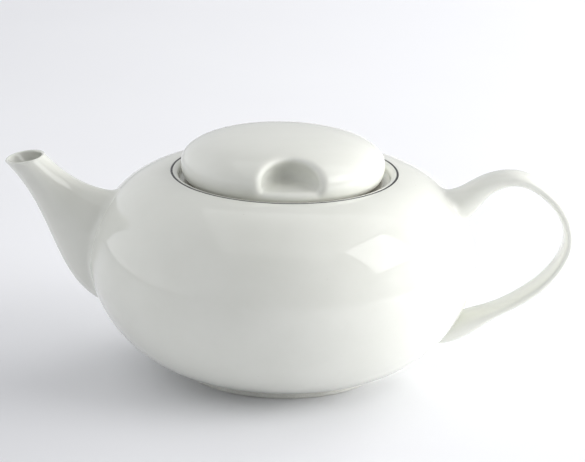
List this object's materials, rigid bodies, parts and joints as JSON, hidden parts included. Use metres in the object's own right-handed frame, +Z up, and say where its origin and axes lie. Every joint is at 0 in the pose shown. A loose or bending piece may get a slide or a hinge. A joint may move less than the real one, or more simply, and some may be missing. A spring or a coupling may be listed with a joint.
{
  "type": "teapot",
  "caption": "Low, round white porcelain teapot with a rising spout, a thin strap handle and a pillow-shaped drop-in lid that lifts off by two finger scoops.",
  "frame": {"origin": "on the table, under the centre of the teapot's bounding box; the bowl's axis is 2.9 mm towards -X from it", "axes": "+X runs from the spout to the handle, +Z is up, -Y is the side the picture shows"},
  "size_m": [0.2497, 0.17, 0.1065],
  "materials": {
    "white_glaze": "glossy white glaze on porcelain",
    "bare_porcelain": "unglazed porcelain, wiped and polished",
    "grey_line": "dark grey line fired into the glaze"
  },
  "bodies": {
    "pot": {"body_shell": "white_glaze", "foot_ring": "bare_porcelain", "spout": "white_glaze", "handle": "white_glaze", "rim_line": "grey_line"},
    "lid": {"lid_cap": "white_glaze", "lid_flange": "white_glaze", "lid_lug": "white_glaze"}
  },
  "joints": [
    {"name": "lid_lift", "type": "slide", "parent": "pot", "child": "lid", "axis": [0, 0, 1], "range_m": [0, 0.06]}
  ]
}
